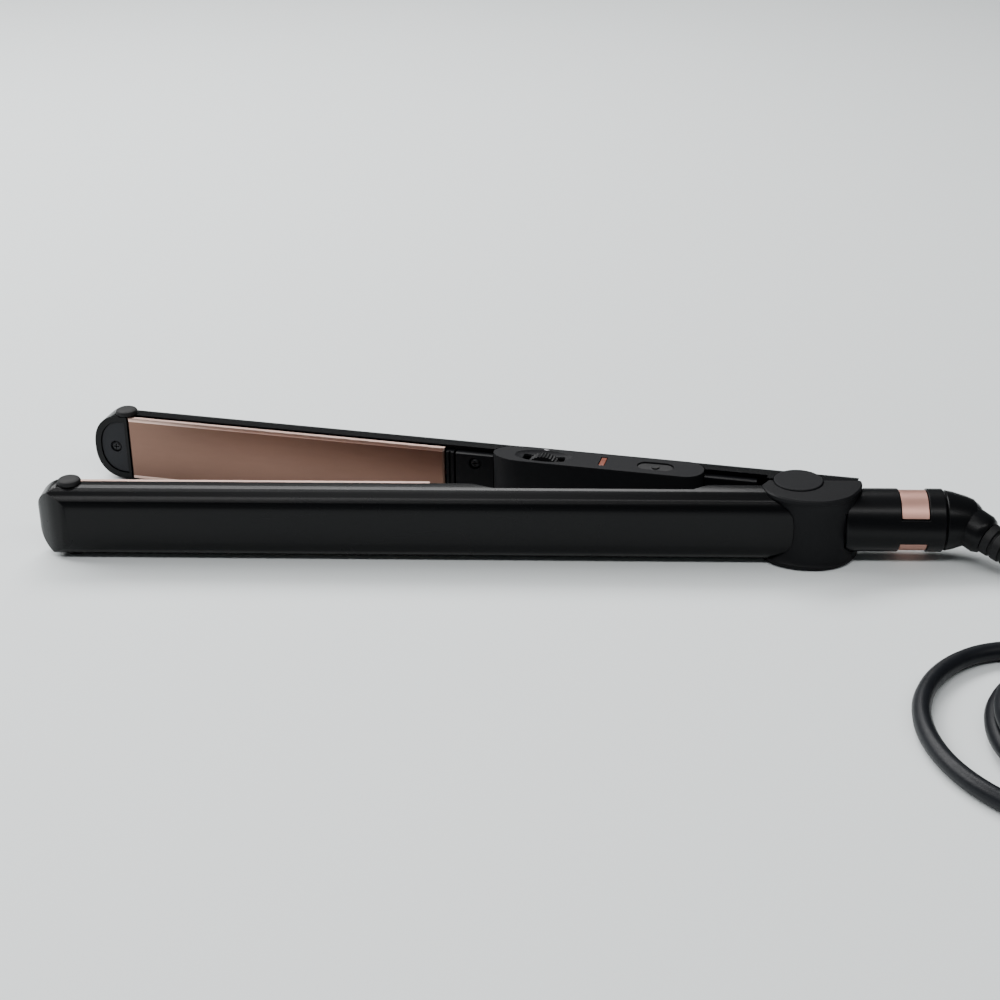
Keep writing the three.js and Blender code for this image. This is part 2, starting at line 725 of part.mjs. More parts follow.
  // Two springs push the carrier out
  const springRoom = INNER_BACK - carrierBack - 2 * GAP - 2 * SPRING_WIRE;
  for (const [index, offset] of [['a', -SPRING_SPAN / 2 + 2], ['b', SPRING_SPAN / 2 - 2]]) {
    const coil = bent(new Helix(SPRING_RADIUS, springRoom, SPRING_TURNS), SPRING_WIRE, 5, SPRING_TURNS * 10);
    const turnedCoil = coil.rotate([s > 0 ? -90 : 90, 0, 0]);
    const y = s * (carrierBack + GAP + SPRING_WIRE);
    add(
      `${arm}_plate_spring_${index}`,
      turnedCoil.translate([middle + offset, y, CENTRE_Z]),
      springSteel,
      open,
    );
  }

  // Ridged heat barrier between plate and handle
  const blockStart = PLATE_END + 2 * GAP;
  let barrier = block(
    blockStart,
    blockStart + BLOCK_LENGTH,
    s * (COVER_FACE + 0.3),
    s * 7,
    CENTRE_Z - OPENING_HALF + GAP,
    CENTRE_Z + OPENING_HALF - GAP,
  );
  barrier = cut(barrier, block(
    blockStart + 1.1,
    blockStart + 1.9,
    -s,
    s * (COVER_FACE + 1.2),
    LOW - 1,
    HIGH + 1,
  ));
  add(`${arm}_end_block`, barrier, charcoal, open);

  // Inner cover of the handle
  const coverHalf = ARM_WIDTH / 2 - COVER_INSET;
  const backDepth = s < 0 ? RECESS_DEPTH + RECESS_FLOOR : RIM_DEPTH + COVER_THICK;
  let cover = alongX(rounded([
    [s * COVER_FACE, CENTRE_Z - coverHalf, 0.8],
    [s * COVER_FACE, CENTRE_Z + coverHalf, 0.8],
    [s * backDepth, CENTRE_Z + coverHalf, s < 0 ? 2.6 : 0.8],
    [s * backDepth, CENTRE_Z - coverHalf, s < 0 ? 2.6 : 0.8],
  ], 2), COVER_START, COVER_END);
  const hollowHalf = coverHalf - 1.4;
  const floor = s * (COVER_FACE + COVER_THICK);
  if (s < 0) {
    cover = cut(cover, alongZ(recessOutline(RECESS_DEPTH), POD_BOTTOM - 1, HIGH + 1));
    const before = RECESS_START - RECESS_SLOPE - 1.5;
    const after = RECESS_END + RECESS_RISE + 1.5;
    cover = cut(
      cover,
      block(COVER_START + 1.4, before, floor, -ARM_THICK, CENTRE_Z - hollowHalf, CENTRE_Z + hollowHalf),
      block(after, COVER_END - 1.4, floor, -ARM_THICK, CENTRE_Z - hollowHalf, CENTRE_Z + hollowHalf),
      block(before + 1.4, after - 1.4, floor, -ARM_THICK, CENTRE_Z - hollowHalf, POD_BOTTOM - 2.5),
    );
  } else {
    cover = cut(cover, podHole);
    cover = cut(
      cover,
      block(
        COVER_START + 1.4,
        POD_START - 2.4,
        floor,
        ARM_THICK,
        CENTRE_Z - hollowHalf,
        CENTRE_Z + hollowHalf,
      ),
      block(POD_END + 2.4, COVER_END - 1.4, floor, ARM_THICK, CENTRE_Z - hollowHalf, CENTRE_Z + hollowHalf),
      block(POD_START - 1, POD_END + 1, floor, ARM_THICK, CENTRE_Z - hollowHalf, POD_BOTTOM - 2),
    );
  }
  for (const [level, z] of COVER_SCREWS) {
    const well = rod(2.3, at(COVER_SCREW_X, s * (COVER_FACE - 1), z), at(0, s, 0), 2.9, 20);
    const wellBore = rod(1.3, at(COVER_SCREW_X, 0, z), at(0, s, 0), ARM_THICK, 16);
    cover = cut(cover, well, wellBore);
    add(`${arm}_${level}_cover_screw`, screw(COVER_SCREW_X, z, COVER_FACE + 0.3, s, 9.2), steel, open);
  }
  add(`${arm}_inner_cover`, cover, blackPlastic, open);

  // Heater lead along the back of the handle
  const leadDepth = s * (INNER_BACK - 1.6);
  const lead = new THREE.CatmullRomCurve3([
    at(PLATE_END - 12, leadDepth, CENTRE_Z - 2),
    at(PLATE_END + 10, leadDepth, CENTRE_Z - 1),
    at(-80, leadDepth, CENTRE_Z - 4),
    at(-40, leadDepth, CENTRE_Z - 6),
    at(-18, leadDepth, CENTRE_Z - 6),
  ]);
  add(`${arm}_heater_lead`, bent(lead, 1.1, 8, 14), leadRed, open);
}

// Control pod: hollow bulge, open toward the inside of the arm
let pod = alongZ(podOutline(0), POD_BOTTOM, POD_TOP);
pod = cut(
  pod,
  alongZ(podOutline(-POD_WALL), POD_BOTTOM + POD_WALL, POD_TOP - 1.8),
  block(POD_START + POD_NOSE, POD_END - POD_TAIL, 4, 12, POD_BOTTOM + POD_WALL, POD_TOP - 1.8),
);
const dish = new THREE.SphereGeometry(1, 48, 24).rotateX(Math.PI / 2);
dish.scale(DIAL_SLOT_X + 3.6, DIAL_THICK / 2 + 3, 2.2).translate(DIAL_X, DIAL_Y, POD_TOP + 0.6);
pod = cut(pod, solid(dish));
pod = cut(pod, alongZ(rounded([
  [DIAL_X - DIAL_SLOT_X, DIAL_Y - DIAL_THICK / 2 - GAP, 1],
  [DIAL_X + DIAL_SLOT_X, DIAL_Y - DIAL_THICK / 2 - GAP, 1],
  [DIAL_X + DIAL_SLOT_X, DIAL_Y + DIAL_THICK / 2 + GAP, 1],
  [DIAL_X - DIAL_SLOT_X, DIAL_Y + DIAL_THICK / 2 + GAP, 1],
], 3), POD_TOP - 6, POD_TOP + 2));

// Narrow lens window and oblong key opening
function lensOutline(grow) {
  return points([
    [LENS_X - LENS_HALF_X - grow, CONTROL_Y - LENS_HALF_Y - grow],
    [LENS_X + LENS_HALF_X + grow, CONTROL_Y - LENS_HALF_Y - grow],
    [LENS_X + LENS_HALF_X + grow, CONTROL_Y + LENS_HALF_Y + grow],
    [LENS_X - LENS_HALF_X - grow, CONTROL_Y + LENS_HALF_Y + grow],
  ]);
}
function keyOutline(grow) {
  return rounded([
    [BUTTON_X - BUTTON_HALF - grow, CONTROL_Y - BUTTON_RADIUS - grow, BUTTON_RADIUS + grow - 0.02],
    [BUTTON_X + BUTTON_HALF + grow, CONTROL_Y - BUTTON_RADIUS - grow, BUTTON_RADIUS + grow - 0.02],
    [BUTTON_X + BUTTON_HALF + grow, CONTROL_Y + BUTTON_RADIUS + grow, BUTTON_RADIUS + grow - 0.02],
    [BUTTON_X - BUTTON_HALF - grow, CONTROL_Y + BUTTON_RADIUS + grow, BUTTON_RADIUS + grow - 0.02],
  ], 6);
}
pod = cut(pod, alongZ(lensOutline(GAP), POD_TOP - 3, POD_TOP + 1));
pod = cut(pod, alongZ(keyOutline(GAP), POD_TOP - 3, POD_TOP + 1));
pod = cut(pod, alongY(rounded([
  [DIAL_X - DIAL_SLOT_X, DIAL_Z - DIAL_RADIUS - GAP, 1],
  [DIAL_X + DIAL_SLOT_X, DIAL_Z - DIAL_RADIUS - GAP, 1],
  [DIAL_X + DIAL_SLOT_X, DIAL_Z, 1],
  [DIAL_X - DIAL_SLOT_X, DIAL_Z, 1],
], 2), DIAL_Y - DIAL_THICK / 2 - GAP, DIAL_Y + DIAL_THICK / 2 + GAP));
add('control_pod', pod, charcoal, true);

// Dial: knurled wheel whose axle runs across the arm
const dialOutline = [];
for (let i = 0; i < 2 * DIAL_NOTCHES; i += 1) {
  const angle = Math.PI * i / DIAL_NOTCHES;
  const radius = i % 2 ? DIAL_RADIUS : DIAL_RADIUS - 0.35;
  dialOutline.push(new THREE.Vector2(DIAL_X + radius * Math.cos(angle), DIAL_Z + radius * Math.sin(angle)));
}
const dialBack = DIAL_Y + DIAL_THICK / 2;
let dial = alongY(dialOutline, DIAL_Y - DIAL_THICK / 2, dialBack);
dial = join(dial, rod(1.4, at(DIAL_X, dialBack - 0.5, DIAL_Z), at(0, 1, 0), 3.2, 16));
dial = cut(dial, turned(
  [[0, 0], [4.4, 0], [3.9, 0.8], [0, 0.8]],
  at(DIAL_X, DIAL_Y - DIAL_THICK / 2 - 0.01, DIAL_Z),
  at(0, 1, 0),
  24,
));
add('dial', dial, charcoal, true);
let sensor = alongY(rounded([
  [DIAL_X - 4.2, DIAL_Z - 4.2, 1.2],
  [DIAL_X + 4.2, DIAL_Z - 4.2, 1.2],
  [DIAL_X + 4.2, DIAL_Z + 3.4, 1.2],
  [DIAL_X - 4.2, DIAL_Z + 3.4, 1.2],
], 3), dialBack + 2 * GAP, dialBack + 3.4);
sensor = cut(sensor, rod(1.4 + GAP, at(DIAL_X, dialBack - 1, DIAL_Z), at(0, 1, 0), 8, 16));
add('dial_sensor', sensor, boardGreen, true);

// Board with switch and lamp
const boardTop = BOARD_Z + BOARD_THICK;
let board = alongZ(rounded([
  [LENS_X - 6, POD_FRONT + POD_WALL + 0.6, 1],
  [POD_END - POD_WALL - 3.4, POD_FRONT + POD_WALL + 0.6, 1],
  [POD_END - POD_WALL - 3.4, POD_BACK - POD_WALL - 0.6, 1],
  [LENS_X - 6, POD_BACK - POD_WALL - 0.6, 1],
], 2), BOARD_Z, boardTop);
board = cut(board, rod(1, at(LENS_X - 4, CONTROL_Y - 3, BOARD_Z - 1), UP, 4, 14));
add('control_board', board, boardGreen, true);
const lensThick = 1.5;
add('indicator_lens', alongZ(lensOutline(0), POD_TOP - lensThick - 0.1, POD_TOP - 0.1), redLens, true);
const lampHeight = POD_TOP - lensThick - 0.1 - GAP - boardTop - GAP;
add('indicator_lamp', turned(
  [[0, 0], [1.7, 0], [1.7, 0.9], [1.4, 0.9], [1.4, lampHeight - 1], [0.8, lampHeight - 0.2], [0, lampHeight]],
  at(LENS_X, CONTROL_Y, boardTop + GAP),
  UP,
  18,
), clearLamp, true);
const keyTop = POD_TOP - 0.5;
const switchTop = boardTop + 3.6;
const KEY_TRAVEL_GAP = 1.1;
const flange = alongZ(keyOutline(0.9), POD_TOP - 1.8 - GAP - 0.9, POD_TOP - 1.8 - GAP);
const key = join(
  alongZ(keyOutline(0), POD_TOP - 1.8 - GAP - 0.9, keyTop),
  flange,
  rod(1.5, at(BUTTON_X, CONTROL_Y, switchTop + KEY_TRAVEL_GAP), UP, 4, 16),
);
add('power_button', key, charcoal, true);
add('power_switch', join(
  block(BUTTON_X - 3, BUTTON_X + 3, CONTROL_Y - 3, CONTROL_Y + 3, boardTop + GAP, switchTop - 0.9),
  rod(1.6, at(BUTTON_X, CONTROL_Y, switchTop - 1), UP, 1, 18),
), blackPlastic, true);

// Hinge hub: the spool with lugs round the pin
let hub = join(
  hubBody(0),
  rod(LUG_RADIUS, at(0, 0, CAP_THICK + 2 * GAP), UP, TOTAL_HEIGHT - 2 * CAP_THICK - 4 * GAP, 36),
);
const spigotRadius = TAIL_RADIUS - TAIL_WALL - GAP;
hub = cut(
  hub,
  rod(KNUCKLE_RADIUS + GAP + 0.1, at(0, 0, LOW + LUG_THICK), UP, ARM_WIDTH - 2 * LUG_THICK, 36),
  rod(CAP_RADIUS + GAP, at(0, 0, TOTAL_HEIGHT - CAP_THICK - GAP), UP, THROUGH, 36),
  rod(CAP_RADIUS + GAP, at(0, 0, CAP_THICK + GAP), DOWN, THROUGH, 36),
  rod(PIN_RADIUS + GAP, at(0, 0, -1), UP, TOTAL_HEIGHT + 2),
  rod(5.2, at(4, TAIL_Y, CENTRE_Z), RIGHT, 30, 24),
  tube(TAIL_RADIUS + GAP, spigotRadius, at(TAIL_ROOT - GAP, TAIL_Y, CENTRE_Z), RIGHT, 12, 56),
);
const spigot = tube(spigotRadius, 5.2, at(HUB_RIGHT - 4, TAIL_Y, CENTRE_Z), RIGHT, 10);
const spigotTrim = join(
  block(HUB_RIGHT - 3, 40, -30, HUB_BACK_Y - 0.4, -5, 40),
  block(TAIL_START - 0.4, 40, -30, 30, -5, 40),
);
hub = join(hub, spigot.intersect(spigotTrim));
add('hinge_hub', hub, charcoal);

const pinLength = TOTAL_HEIGHT - 2 * CAP_THICK - 2 * GAP;
add('hinge_pin', rod(PIN_RADIUS, at(0, 0, CAP_THICK + GAP), UP, pinLength), steel);
for (const [name, z, axis] of [['upper', TOTAL_HEIGHT - CAP_THICK, UP], ['lower', CAP_THICK, DOWN]]) {
  const chamfer = 0.25;
  add(`${name}_hinge_cap`, turned(
    [
      [0, 0],
      [CAP_RADIUS, 0],
      [CAP_RADIUS, CAP_THICK - chamfer],
      [CAP_RADIUS - chamfer, CAP_THICK],
      [0, CAP_THICK],
    ],
    at(0, 0, z),
    axis,
    48,
  ), charcoal);
}
const torsion = bent(
  new Helix(COIL_RADIUS - 0.1, COIL_TURNS * COIL_PITCH, COIL_TURNS),
  COIL_WIRE,
  6,
  COIL_TURNS * 14,
);
add('hinge_spring', torsion.translate([0, 0, springLow + GAP + COIL_WIRE]), springSteel);

// Tail barrel with two curved inlays
const axisAt = (x) => at(x, TAIL_Y, CENTRE_Z);
function sector(inner, outer, from, to, middle, half) {
  const outline = [];
  const steps = 14;
  for (let i = 0; i <= steps; i += 1) {
    const angle = THREE.MathUtils.degToRad(middle - half + 2 * half * i / steps);
    outline.push(new THREE.Vector2(TAIL_Y + outer * Math.cos(angle), CENTRE_Z + outer * Math.sin(angle)));
  }
  for (let i = steps; i >= 0; i -= 1) {
    const angle = THREE.MathUtils.degToRad(middle - half + 2 * half * i / steps);
    outline.push(new THREE.Vector2(TAIL_Y + inner * Math.cos(angle), CENTRE_Z + inner * Math.sin(angle)));
  }
  return alongX(outline, from, to);
}
const inlayOuter = TAIL_RADIUS - INLAY_SINK;
const inlayInner = inlayOuter - INLAY_THICK;
const rim = 0.5;
let barrel = turned(
  [[TAIL_RADIUS - TAIL_WALL, 0], [TAIL_RADIUS - rim, 0], [TAIL_RADIUS, rim],
    [TAIL_RADIUS, TAIL_END - TAIL_ROOT - rim], [TAIL_RADIUS - rim, TAIL_END - TAIL_ROOT],
    [TAIL_RADIUS - TAIL_WALL, TAIL_END - TAIL_ROOT], [TAIL_RADIUS - TAIL_WALL, 0]],
  axisAt(TAIL_ROOT),
  RIGHT,
  56,
);
barrel = cut(barrel, block(TAIL_ROOT - 1, TAIL_START, HUB_BACK_Y - 0.5, 30, -5, 40));
for (const [name, middle] of [['upper', 90], ['lower', -90]]) {
  barrel = cut(barrel, sector(
    inlayInner - GAP,
    TAIL_RADIUS + 1,
    INLAY_START - 0.15,
    INLAY_END + 0.15,
    middle,
    INLAY_HALF_ANGLE + 3,
  ));
  add(
    `${name}_inlay`,
    sector(inlayInner, inlayOuter, INLAY_START + 0.15, INLAY_END - 0.15, middle, INLAY_HALF_ANGLE - 1),
    roseGold,
  );
}
add('tail_barrel', barrel, blackPlastic);
const bearingOuter = TAIL_RADIUS - TAIL_WALL - GAP;
const bearingStart = TAIL_END - GAP - BEARING_LENGTH;
add('swivel_bearing', tube(
  bearingOuter,
  NECK_RADIUS + GAP,
  axisAt(bearingStart),
  RIGHT,
  BEARING_LENGTH,
  36,
), charcoal);

// Swivel: neck through the bearing, tapered cap, elbow socket for the cord
const lipStart = bearingStart - GAP - 2;
const capStart = TAIL_END + GAP;
let swivel = turned(
  [[0, lipStart], [NECK_RADIUS + 1.4, lipStart], [NECK_RADIUS + 1.4, bearingStart - GAP],
    [NECK_RADIUS, bearingStart - GAP], [NECK_RADIUS, capStart], [SWIVEL_RADIUS - 0.4, capStart],
    [SWIVEL_RADIUS, capStart + 0.5], [SWIVEL_RADIUS - 0.5, capStart + 3],
    [SWIVEL_SMALL + 0.6, SWIVEL_TAPER_END - 2], [SWIVEL_SMALL, SWIVEL_TAPER_END],
    [SWIVEL_SMALL - 1.1, SWIVEL_TAPER_END + 2.6], [SWIVEL_SMALL - 3.4, SWIVEL_TAPER_END + 4.6],
    [0, SWIVEL_TAPER_END + 5.4]],
  at(0, TAIL_Y, CENTRE_Z),
  RIGHT,
  36,
);
const ball = solid(new THREE.SphereGeometry(SWIVEL_SMALL - 0.3, 32, 20).translate(ELBOW.x, ELBOW.y, ELBOW.z));
swivel = join(swivel, ball, turned(
  [[0, 0], [SOCKET_RADIUS, 0], [SOCKET_RADIUS, SOCKET_END - 2.4], [SOCKET_RADIUS - 0.7, SOCKET_END - 0.8],
    [SOCKET_RADIUS - 1.6, SOCKET_END], [0, SOCKET_END]],
  ELBOW,
  CORD_DIRECTION,
  26,
));
add('swivel_cap', swivel, blackPlastic);

// Ribbed sleeve
const reliefStart = SOCKET_END + GAP;
const sleeve = [[CORD_RADIUS + GAP, 0], [RELIEF_START_RADIUS, 0]];
const ribPitch = RELIEF_LENGTH / RELIEF_RIBS;
for (let i = 0; i < RELIEF_RIBS; i += 1) {
  const radius = (t) => THREE.MathUtils.lerp(RELIEF_START_RADIUS, RELIEF_END_RADIUS, t / RELIEF_LENGTH);
  const foot = i * ribPitch;
  sleeve.push([radius(foot + 0.68 * ribPitch), foot + 0.68 * ribPitch]);
  sleeve.push([radius(foot + 0.72 * ribPitch) - 0.8, foot + 0.72 * ribPitch]);
  sleeve.push([radius(foot + 0.96 * ribPitch) - 0.8, foot + 0.96 * ribPitch]);
  sleeve.push([radius(foot + ribPitch), foot + ribPitch]);
}
sleeve.push([CORD_RADIUS + GAP, RELIEF_LENGTH]);
sleeve.push([CORD_RADIUS + GAP, 0]);
const reliefBase = ELBOW.clone().addScaledVector(CORD_DIRECTION, reliefStart);
add('strain_relief', turned(sleeve, reliefBase, CORD_DIRECTION, 20), rubber);

// Cord: from the sleeve to the floor, round in front, to the coil
const cordStart = ELBOW.clone().addScaledVector(CORD_DIRECTION, reliefStart + 1);
const reliefEnd = reliefBase.clone().addScaledVector(CORD_DIRECTION, RELIEF_LENGTH);
const floorPoint = (x, y) => at(x, y, CORD_LIE);
const coilOuter = COIL_MEAN + COIL_HALF_WIDTH;
const route = new THREE.CatmullRomCurve3([
  cordStart,
  cordStart.clone().lerp(reliefEnd, 0.5),
  reliefEnd,
  at(89.6, -37.9, CORD_LIE + 0.2),
  floorPoint(91.2, -47.4),
  floorPoint(88.4, -59.2),
  floorPoint(81, -68.6),
  floorPoint(70.6, -73.5),
  floorPoint(57, -74.5),
  floorPoint(47.5, -77.8),
  floorPoint(37.3, -86.9),
  floorPoint(29.8, -99.2),
  floorPoint(26.3, -113),
  floorPoint(27.2, -130),
  floorPoint(33.5, -147),
  floorPoint(45, -161),
  floorPoint(61, -170.5),
  floorPoint(COIL_CENTRE.x, COIL_CENTRE.y - coilOuter - CORD_RADIUS - GAP),
], false, 'centripetal');
add('cord_run', bent(route, CORD_RADIUS, CORD_SIDES, 72), cordBlack);

// Coil of the remaining cord
const coilLow = 0.2 + GAP + TIE_THICK + 0.1;
const coilRing = new THREE.LatheGeometry(rounded([
  [COIL_MEAN - COIL_HALF_WIDTH, coilLow, 4],
  [COIL_MEAN + COIL_HALF_WIDTH, coilLow, 4],
  [COIL_MEAN + COIL_HALF_WIDTH, coilLow + COIL_HEIGHT, 4],
  [COIL_MEAN - COIL_HALF_WIDTH, coilLow + COIL_HEIGHT, 4],
], 2).concat([new THREE.Vector2(COIL_MEAN - COIL_HALF_WIDTH, coilLow + 4)]), 40);
const coilBody = solid(coilRing.rotateX(Math.PI / 2).translate(COIL_CENTRE.x, COIL_CENTRE.y, 0));
add('cord_coil', coilBody, cordBlack);

// Strap round one side of the coil
const strapMiddle = coilLow + COIL_HEIGHT / 2;
const coilInner = COIL_MEAN - COIL_HALF_WIDTH;
const bow = TIE_WIDTH ** 2 / (8 * coilInner);
const strapOutline = (grow) => rounded([
  [COIL_CENTRE.x + coilInner - bow - grow, strapMiddle - COIL_HEIGHT / 2 - grow, 3],
  [COIL_CENTRE.x + coilOuter + grow, strapMiddle - COIL_HEIGHT / 2 - grow, 3],
  [COIL_CENTRE.x + coilOuter + grow, strapMiddle + COIL_HEIGHT / 2 + grow, 3],
  [COIL_CENTRE.x + coilInner - bow - grow, strapMiddle + COIL_HEIGHT / 2 + grow, 3],
], 3);
const strapFrom = COIL_CENTRE.y - TIE_WIDTH / 2;
const strap = cut(
  alongY(strapOutline(GAP + TIE_THICK), strapFrom, strapFrom + TIE_WIDTH),
  alongY(strapOutline(GAP), strapFrom - 1, strapFrom + TIE_WIDTH + 1),
);
add('cord_tie', strap, charcoal);

// Plug lying beside the coil, its sleeve toward the coil, two flat blades
const plugX = COIL_CENTRE.x + COIL_MEAN + 2 * CORD_RADIUS;
const plugBase = COIL_CENTRE.y + PLUG_OFFSET;
const plugMiddle = PLUG_HEIGHT / 2 + 0.4;
const plugSide = alongX(rounded([
  [plugBase + 14, plugMiddle - PLUG_HEIGHT / 2, 3],
  [plugBase + 14 + PLUG_LENGTH, plugMiddle - PLUG_HEIGHT / 2, 2],
  [plugBase + 14 + PLUG_LENGTH, plugMiddle + PLUG_HEIGHT / 2, 2],
  [plugBase + 14, plugMiddle + PLUG_HEIGHT / 2, 3],
], 3), plugX - PLUG_WIDTH / 2, plugX + PLUG_WIDTH / 2);
const plugTop = alongZ(rounded([
  [plugX - PLUG_WIDTH / 2 + 4, plugBase + 14, 3],
  [plugX - PLUG_WIDTH / 2, plugBase + 26, 6],
  [plugX - PLUG_WIDTH / 2, plugBase + 14 + PLUG_LENGTH, 1.5],
  [plugX + PLUG_WIDTH / 2, plugBase + 14 + PLUG_LENGTH, 1.5],
  [plugX + PLUG_WIDTH / 2, plugBase + 26, 6],
  [plugX + PLUG_WIDTH / 2 - 4, plugBase + 14, 3],
], 3), 0, PLUG_HEIGHT + 2);
const sleeveBase = at(plugX, plugBase, plugMiddle);
const plugSleeve = turned(
  [[0, 0], [4.1, 0], [4.6, 5], [3.9, 5.3], [3.9, 6.3], [4.9, 6.6], [5.2, 16], [0, 16]],
  sleeveBase,
  at(0, 1, 0),
  24,
);
let plug = join(plugSide.intersect(plugTop), plugSleeve);
const bladeRoot = plugBase + 14 + PLUG_LENGTH;
const blades = [];
for (const [name, offset] of [['left', -BLADE_SPACING / 2], ['right', BLADE_SPACING / 2]]) {
  const x = plugX + offset;
  plug = cut(
    plug,
    block(x - 1.05, x + 1.05, bladeRoot - 8, bladeRoot + 2, plugMiddle - 3.45, plugMiddle + 3.45),
  );
  const blade = alongX(rounded([
    [bladeRoot - 7.7, plugMiddle - 3.15],
    [bladeRoot + BLADE_LENGTH, plugMiddle - 3.15, 1.6],
    [bladeRoot + BLADE_LENGTH, plugMiddle + 3.15, 1.6],
    [bladeRoot - 7.7, plugMiddle + 3.15],
  ], 3), x - 0.75, x + 0.75);
  const hole = rod(1.6, at(x - 2, bladeRoot + 11.5, plugMiddle), RIGHT, 4, 14);
  blades.push([`${name}_blade`, cut(blade, hole)]);
}
add('plug_body', plug, rubber);
for (const [name, blade] of blades) {
  add(name, blade, brass);
}
export default group;
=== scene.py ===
"""Flat iron lying open on a pale studio floor."""

import json
import math

import bmesh
import bpy
from mathutils import Matrix, Vector


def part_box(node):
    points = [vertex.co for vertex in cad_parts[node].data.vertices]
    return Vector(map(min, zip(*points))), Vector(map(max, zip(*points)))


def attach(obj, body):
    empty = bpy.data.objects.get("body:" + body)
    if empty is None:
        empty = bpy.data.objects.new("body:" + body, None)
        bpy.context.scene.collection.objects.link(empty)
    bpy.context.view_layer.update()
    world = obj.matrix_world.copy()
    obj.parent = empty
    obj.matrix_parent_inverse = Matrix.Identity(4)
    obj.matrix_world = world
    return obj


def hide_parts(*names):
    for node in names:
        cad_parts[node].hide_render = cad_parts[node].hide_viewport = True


MM = 0.001
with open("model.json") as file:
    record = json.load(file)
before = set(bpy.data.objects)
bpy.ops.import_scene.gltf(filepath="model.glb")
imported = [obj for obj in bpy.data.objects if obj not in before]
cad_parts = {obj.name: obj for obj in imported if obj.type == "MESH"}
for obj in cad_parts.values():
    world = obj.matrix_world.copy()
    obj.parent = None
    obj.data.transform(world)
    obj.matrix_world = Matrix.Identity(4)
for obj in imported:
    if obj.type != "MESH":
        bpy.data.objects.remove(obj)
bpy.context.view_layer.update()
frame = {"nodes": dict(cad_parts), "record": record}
scene = bpy.context.scene


# ---------------------------------------------------------------- camera
AIM = Vector((-0.10436, 0, 0.0189))
DISTANCE = 0.66502
ELEVATION = math.radians(25.808)
TURN = math.radians(-2.705)
ROLL = math.radians(-0.782)
LENS = 67.75


def add_camera():
    """Looks along +Y and down at the iron, with a small roll."""
    ahead = Vector((
        math.sin(TURN) * math.cos(ELEVATION),
        math.cos(TURN) * math.cos(ELEVATION),
        -math.sin(ELEVATION),
    ))
    level = Vector((math.cos(TURN), -math.sin(TURN), 0))
    upright = level.cross(ahead)
    right = math.cos(ROLL) * level + math.sin(ROLL) * upright
    up = -math.sin(ROLL) * level + math.cos(ROLL) * upright
    camera = bpy.data.objects.new("camera", bpy.data.cameras.new("camera"))
    camera.data.lens = LENS
    camera.data.sensor_width = 36
    camera.data.clip_start = 0.01
    turn = Matrix((right, up, -ahead)).transposed().to_4x4()
    camera.matrix_world = Matrix.Translation(AIM - ahead * DISTANCE) @ turn
    scene.collection.objects.link(camera)
    scene.camera = camera


add_camera()


# ---------------------------------------------------------------- materials
class Value:
    """A number or colour inside a material; arithmetic on it adds Math nodes."""

    def __init__(self, shader, socket):
        self.shader = shader
        self.socket = socket

    def _math(self, operation, *values):
        return self.shader.node("ShaderNodeMath", {"operation": operation}, dict(enumerate(values)))

    def __add__(self, other):
        return self._math("ADD", self, other)

    def __radd__(self, other):
        return self._math("ADD", other, self)

    def __mul__(self, other):
        return self._math("MULTIPLY", self, other)

    def __gt__(self, other):
        return self._math("GREATER_THAN", self, other)

    def abs(self):
        return self._math("ABSOLUTE", self)

    def clamp(self, low, high):
        return self.shader.node(
            "ShaderNodeClamp", {}, {"Value": self, "Min": low, "Max": high}
        )


class Shader:
    """A material made of nodes round one Principled shader."""

    def __init__(self, name, colour, roughness, metallic=0.0, **constants):
        self.material = bpy.data.materials.new(name)
        self.material.use_nodes = True
        self.tree = self.material.node_tree
        self.surface = self.tree.nodes["Principled BSDF"]
        self.surface.inputs["Base Color"].default_value = (*colour, 1)
        self.surface.inputs["Roughness"].default_value = roughness
        self.surface.inputs["Metallic"].default_value = metallic
        for label, value in constants.items():
            self.surface.inputs[label.replace("_", " ")].default_value = value

    def node(self, kind, settings, values, output=0):
        """Adds any node: its settings first, then the values or links of its sockets."""
        made = self.tree.nodes.new(kind)
        for label, value in settings.items():
            setattr(made, label, value)
        for label, value in values.items():
            if isinstance(value, Value):
                self.tree.links.new(value.socket, made.inputs[label])
            else:
                made.inputs[label].default_value = value
        return Value(self, made.outputs[output])

    def place(self, scale=(1, 1, 1), centre=(0, 0, 0)):
        """Object coordinates, moved and stretched."""
        source = self.node("ShaderNodeTexCoord", {}, {}, "Object")
        moved = self.node(
            "ShaderNodeVectorMath", {"operation": "SUBTRACT"}, {0: source, 1: tuple(centre)}
        )
        return self.node("ShaderNodeMapping", {}, {"Vector": moved, "Scale": scale})

    def noise(self, where, scale, detail, roughness):
        return self.node(
            "ShaderNodeTexNoise",
            {},
            {"Vector": where, "Scale": scale, "Detail": detail, "Roughness": roughness},
        )

    def axis(self, where, label):
        return self.node("ShaderNodeSeparateXYZ", {}, {0: where}, label)

    def blend(self, mask, first, second):
        """First colour where the mask is 0, second where it is 1."""
        values = {0: mask, 6: first, 7: second}
        return self.node("ShaderNodeMix", {"data_type": "RGBA"}, values, 2)

    def colour(self, value):
        self.tree.links.new(value.socket, self.surface.inputs["Base Color"])

    def roughness(self, value):
        self.tree.links.new(value.socket, self.surface.inputs["Roughness"])

    def bump(self, height, distance):
        values = {"Height": height, "Distance": distance, "Strength": 1.0}
        lifted = self.node("ShaderNodeBump", {}, values)
        self.tree.links.new(lifted.socket, self.surface.inputs["Normal"])


MID_HEIGHT = 13.8 * MM
# Bright gold base colour painted on the plate bevels as a highlight.
PAINTED_HIGHLIGHT_GOLD = (0.8, 0.56, 0.48, 1)


def shade(level, tint):
    return tuple(level * t for t in tint)


def rgba(colour):
    return (*colour, 1)


